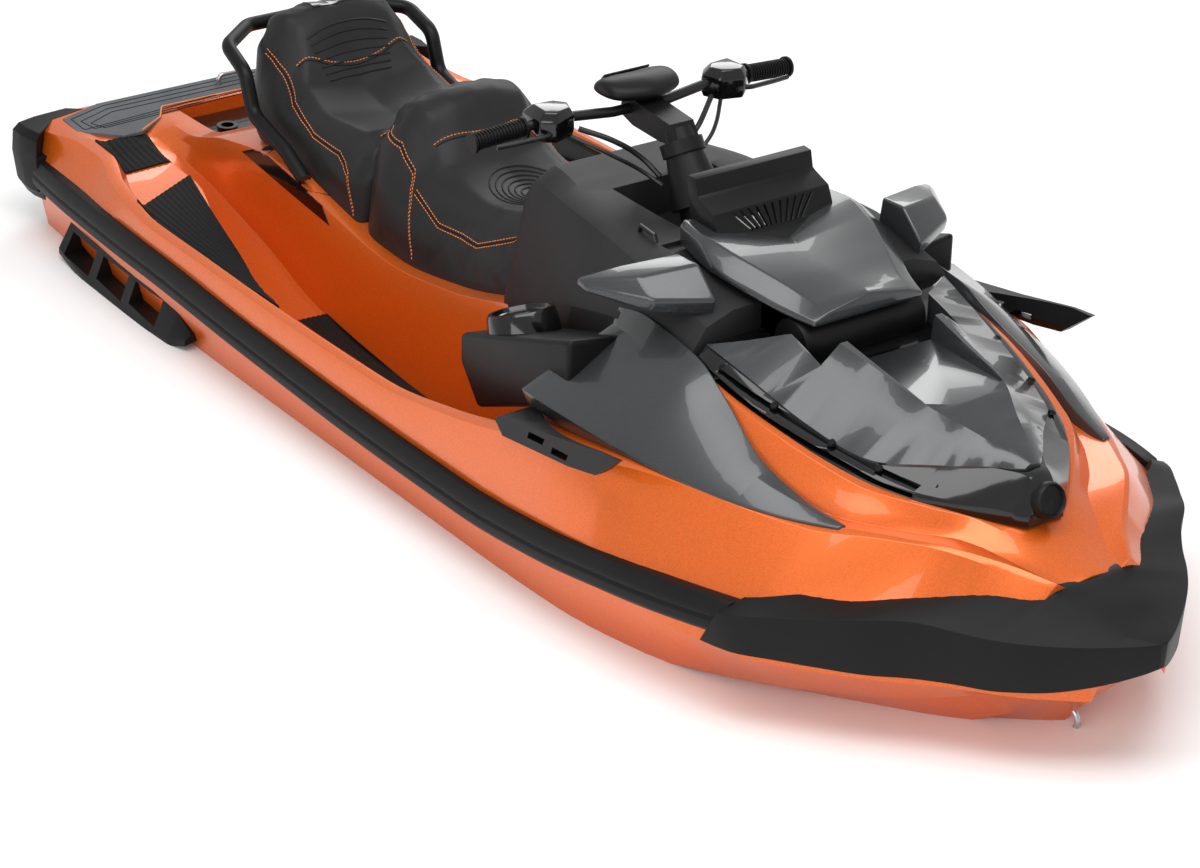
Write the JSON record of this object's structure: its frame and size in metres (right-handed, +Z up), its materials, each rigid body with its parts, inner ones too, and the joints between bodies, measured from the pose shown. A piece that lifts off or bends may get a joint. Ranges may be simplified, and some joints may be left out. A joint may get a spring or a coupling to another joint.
{
  "type": "personal watercraft",
  "caption": "Sport personal watercraft: V hull, moulded deck, straddle seat, steered jet pump with reverse gate, storage lid and boarding step.",
  "frame": {"origin": "on the waterline amidships, on the centre plane, 260 mm above the keel's lowest line", "axes": "+X points to the bow, +Y to port, +Z up"},
  "size_m": [3.4505, 1.2544, 1.1124],
  "materials": {
    "body_orange": "candy orange gelcoat with fine metal flake under clear gloss",
    "grey_gloss": "dark grey gloss",
    "black_gloss": "gloss black",
    "black_plastic": "moulded black plastic",
    "grey_textured": "grained dark grey plastic",
    "black_rubber": "matt black rubber",
    "black_pad": "ribbed traction pad",
    "grey_mat": "grey foam mat with routed lines",
    "seat_vinyl": "dark grey marine vinyl with orange stitching",
    "black_tube": "black coated tube",
    "steel": "stainless steel",
    "aluminium": "bare aluminium",
    "cast_block": "cast engine block"
  },
  "bodies": {
    "craft": {"hull": "body_orange", "deck": "body_orange", "engine_block": "cast_block", "rub_rail_starboard": "black_rubber", "rub_rail_port": "black_rubber", "bow_bumper": "black_rubber", "stern_bumper": "black_rubber", "sponson_starboard": "black_plastic", "sponson_port": "black_plastic", "side_panel_starboard": "grey_gloss", "side_panel_port": "grey_gloss", "nose_trim": "black_gloss", "hood": "grey_gloss", "console": "grey_textured", "storage_bin": "black_plastic", "column_bearing": "black_plastic", "mirror_starboard": "grey_gloss", "mirror_port": "grey_gloss", "cleats": "black_plastic", "speaker_pod_starboard": "black_plastic", "speaker_pod_port": "black_plastic", "passenger_seat": "seat_vinyl", "driver_seat": "seat_vinyl", "grab_rail": "black_plastic", "swim_mat": "grey_mat", "traction_pads": "black_pad", "footwell_mats": "grey_mat", "deck_panel": "black_gloss", "tow_hook": "steel", "bow_eye": "steel", "ride_plate": "aluminium", "intake_grate": "aluminium", "pump_housing": "black_plastic", "lid_hinge": "black_plastic", "ladder_brackets": "steel"},
    "steering": {"steering_column": "black_plastic", "handlebar": "black_tube", "grips": "black_rubber", "control_pod_starboard": "black_plastic", "control_pod_port": "black_plastic", "gauge_pod": "black_plastic", "levers": "black_tube"},
    "lid": {"storage_lid": "grey_gloss", "wind_deflector": "black_plastic"},
    "nozzle": {"steering_nozzle": "black_plastic"},
    "gate": {"reverse_bucket": "black_plastic"},
    "impeller": {"impeller": "steel"},
    "ladder": {"boarding_ladder": "steel"}
  },
  "joints": [
    {"name": "steering_turn", "type": "hinge", "parent": "craft", "child": "steering", "pos_m": [0.232, 0, 0.738], "axis": [-0.5299, 0, 0.848], "range_deg": [-25, 25]},
    {"name": "nozzle_turn", "type": "hinge", "parent": "craft", "child": "nozzle", "pos_m": [-1.5, 0, -0.132], "axis": [0, 0, 1], "range_deg": [-20, 20]},
    {"name": "reverse_gate_swing", "type": "hinge", "parent": "craft", "child": "gate", "pos_m": [-1.5, 0, -0.132], "axis": [0, -1, 0], "range_deg": [0, 85]},
    {"name": "impeller_spin", "type": "hinge", "parent": "craft", "child": "impeller", "pos_m": [-1.3, 0, -0.132], "axis": [1, 0, 0], "continuous": true},
    {"name": "storage_lid_open", "type": "hinge", "parent": "craft", "child": "lid", "pos_m": [0.8, 0, 0.548], "axis": [0, 1, 0], "range_deg": [0, 60]},
    {"name": "ladder_fold", "type": "hinge", "parent": "craft", "child": "ladder", "pos_m": [-1.662, 0, -0.045], "axis": [0, -1, 0], "range_deg": [0, 150]}
  ],
  "couplings": [
    {"joint": "nozzle_turn", "follows": "steering_turn", "ratio": -0.8}
  ]
}
